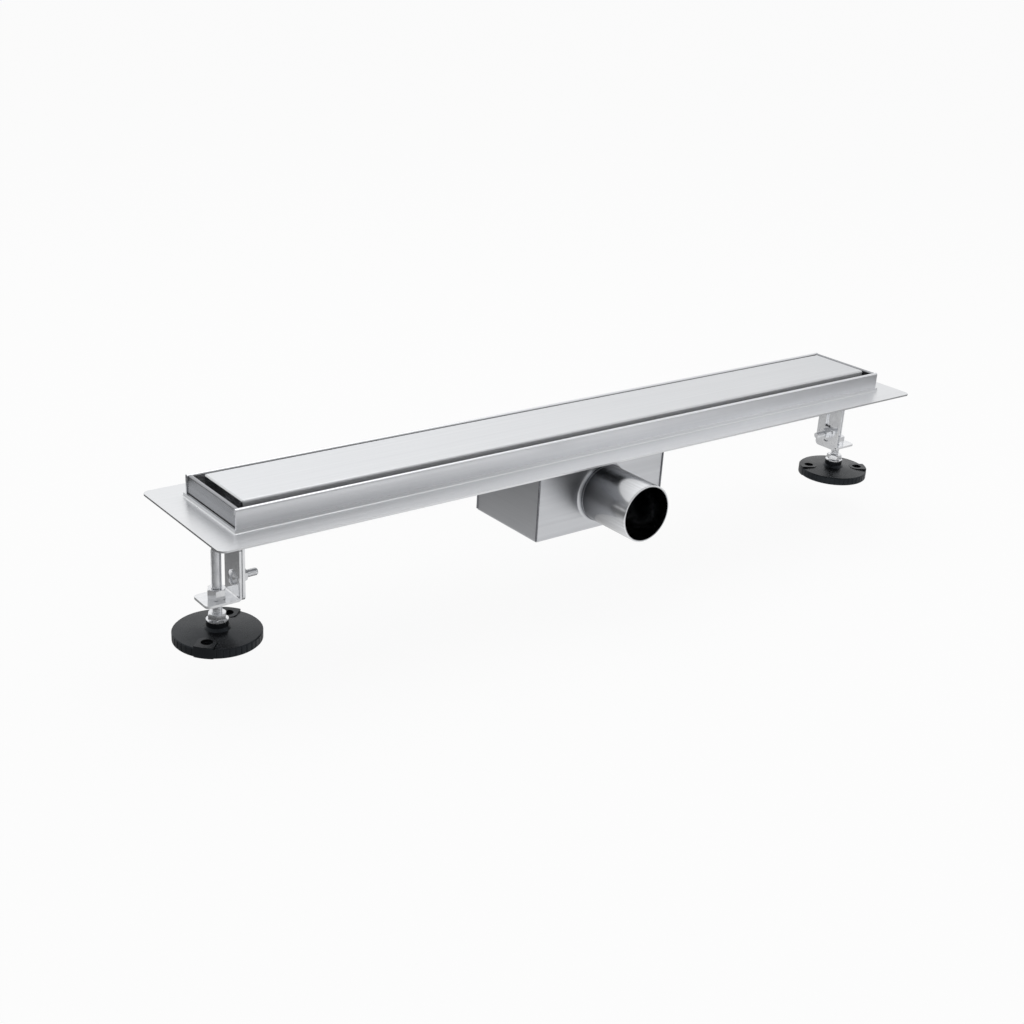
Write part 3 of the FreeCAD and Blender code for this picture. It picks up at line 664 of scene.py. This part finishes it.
class DRAIN_OT_trap(bpy.types.Operator):
    """Finish the water trap, its seal and strainer, and the cover's pads"""
    bl_idname = "drain.trap"
    bl_label = "Water trap"

    def execute(self, context):
        tones, steel = context.scene.drain_mouldings, context.scene.drain_steel
        finish_nodes(["trap_tube", "trap_cup"],
                     moulded("grey moulding", tones.trap, tones.trap_cloud, 0.38, 1500))
        finish_nodes(["trap_seal", "cover_pads"],
                     rubber("seal rubber", tones.rubber, tones.rubber_bloom))
        finish_nodes(["hair_strainer"], plated("polished strainer", steel.cover, steel.sheet, 0.18))
        return {"FINISHED"}


# Stage

def add_lamp(name, watts):
    place, target, size = LAMPS[name]
    data = bpy.data.lights.new(name, "AREA")
    data.shape = "RECTANGLE"
    data.size, data.size_y = size
    data.energy = watts
    lamp = bpy.data.objects.new(name, data)
    lamp.location = place
    lamp.rotation_euler = (Vector(target) - Vector(place)).to_track_quat("-Z", "Y").to_euler()
    bpy.context.scene.collection.objects.link(lamp)


def seen_rays(tree):
    """Two factors: 1 for rays from gloss, and 1 for all rays that see the plain white surroundings."""
    path = tree.add("LightPath", {})
    seen = path["Is Camera Ray"]
    for name in ("Is Glossy Ray", "Is Transmission Ray"):
        seen = tree.calculate("MAXIMUM", seen, path[name])
    return path["Is Glossy Ray"], seen


def make_world(stage):
    """Soft white light from all round, and a white backdrop that fades where metal sees its far side."""
    world = bpy.data.worlds.new("studio")
    bpy.context.scene.world = world
    world.use_nodes = True
    tree = Nodes(world.node_tree)
    soft = tree.nodes["Background"]
    soft.inputs["Color"].default_value = (1, 1, 1, 1)
    soft.inputs["Strength"].default_value = stage.sky
    way = tree.add("TexCoord", {})["Generated"]
    towards = tree.add("VectorMath", {0: way, 1: stage.backdrop_way}, operation="DOT_PRODUCT")["Value"]
    fade = tree.spread(towards, *BACKDROP_FADE, stage.backdrop_far, 1)
    glossy, seen = seen_rays(tree)
    white = (*[stage.backdrop_white] * 3, 1)
    plain = tree.add("Background", {"Color": tree.blend(glossy, white, fade)})["Background"]
    both = tree.either(seen, soft.outputs["Background"], plain)
    tree.links.new(both, tree.nodes["World Output"].inputs["Surface"])


def floor_material(stage):
    """Pale floor, lifted to white where it is seen, with the object's shadow kept, and clear from below.

    Metal sees a soft pool of light on it.
    """
    material = bpy.data.materials.new("pale floor")
    material.use_nodes = True
    tree = Nodes(material.node_tree)
    tree.nodes.remove(tree.nodes["Principled BSDF"])
    matt = tree.add("BsdfDiffuse", {"Color": (*[stage.floor_tone] * 3, 1)})["BSDF"]
    lifted = tree.either(stage.floor_glow, matt, tree.add("Emission", {})["Emission"])
    from_pool = tree.moved(tree.place(), (1, 1, 0), (-stage.pool_place[0], -stage.pool_place[1], 0))
    fade = tree.spread(tree.norm(from_pool), stage.pool_core, stage.pool_radius, stage.pool_light,
                       stage.pool_edge)
    pool = tree.add("Emission", {"Color": fade})["Emission"]
    glossy, seen = seen_rays(tree)
    above = tree.either(seen, matt, tree.either(glossy, lifted, pool))
    below = tree.add("NewGeometry", {})["Backfacing"]
    one_sided = tree.either(below, above, tree.add("BsdfTransparent", {})["BSDF"])
    tree.links.new(one_sided, tree.nodes["Material Output"].inputs["Surface"])
    return material


class DRAIN_OT_stage(bpy.types.Operator):
    """Lay the floor, hang the lamps and place the camera"""
    bl_idname = "drain.stage"
    bl_label = "Stage"

    def execute(self, context):
        scene, stage = context.scene, context.scene.drain_stage
        scene.view_settings.view_transform = "Standard"
        make_world(stage)
        self.lay_floor(scene, stage)
        add_lamp("overhead", stage.key_power)
        add_lamp("side", stage.side_power)
        self.place_camera(scene, stage)
        return {"FINISHED"}

    def lay_floor(self, scene, stage):
        mesh = bmesh.new()
        bmesh.ops.create_grid(mesh, x_segments=1, y_segments=1, size=stage.floor_size / 2)
        bmesh.ops.translate(mesh, verts=mesh.verts, vec=(0, 0, FLOOR_Z - stage.floor_drop))
        data = bpy.data.meshes.new("floor")
        mesh.to_mesh(data)
        mesh.free()
        data.materials.append(floor_material(stage))
        floor = bpy.data.objects.new("floor", data)
        scene.collection.objects.link(floor)

    def place_camera(self, scene, stage):
        data = bpy.data.cameras.new("camera")
        data.sensor_width = 36
        data.lens = stage.camera_lens
        camera = bpy.data.objects.new("camera", data)
        heading = Matrix.Rotation(-stage.camera_heading, 4, "Z")
        dip = Matrix.Rotation(math.pi / 2 - stage.camera_dip, 4, "X")
        roll = Matrix.Rotation(stage.camera_roll, 4, "Z")
        camera.matrix_world = Matrix.Translation(stage.camera_place) @ heading @ dip @ roll
        scene.collection.objects.link(camera)
        scene.camera = camera


OPERATORS = (DRAIN_OT_trough, DRAIN_OT_cover, DRAIN_OT_sump, DRAIN_OT_brackets, DRAIN_OT_rods,
             DRAIN_OT_screws, DRAIN_OT_feet, DRAIN_OT_trap, DRAIN_OT_stage)


class DRAIN_PT_panel(bpy.types.Panel):
    bl_idname = "DRAIN_PT_panel"
    bl_label = "Channel drain"
    bl_space_type = "VIEW_3D"
    bl_region_type = "UI"
    bl_category = "Drain"

    def draw(self, context):
        for operator in OPERATORS:
            self.layout.operator(operator.bl_idname)


GROUPS = {"drain_steel": DrainSteel, "drain_threads": DrainThreads, "drain_mouldings": DrainMouldings,
          "drain_stage": DrainStage}


def register():
    for kind in (*GROUPS.values(), *OPERATORS, DRAIN_PT_panel):
        bpy.utils.register_class(kind)
    for name, kind in GROUPS.items():
        setattr(bpy.types.Scene, name, bpy.props.PointerProperty(type=kind))


def unregister():
    for name in GROUPS:
        delattr(bpy.types.Scene, name)
    for kind in (DRAIN_PT_panel, *reversed(OPERATORS), *GROUPS.values()):
        bpy.utils.unregister_class(kind)


def main():
    register()
    bpy.ops.drain.trough()
    bpy.ops.drain.cover()
    bpy.ops.drain.sump()
    bpy.ops.drain.brackets()
    bpy.ops.drain.rods()
    bpy.ops.drain.screws()
    bpy.ops.drain.feet()
    bpy.ops.drain.trap()
    bpy.ops.drain.stage()
    bpy.context.view_layer.update()


if __name__ == "__main__":
    main()
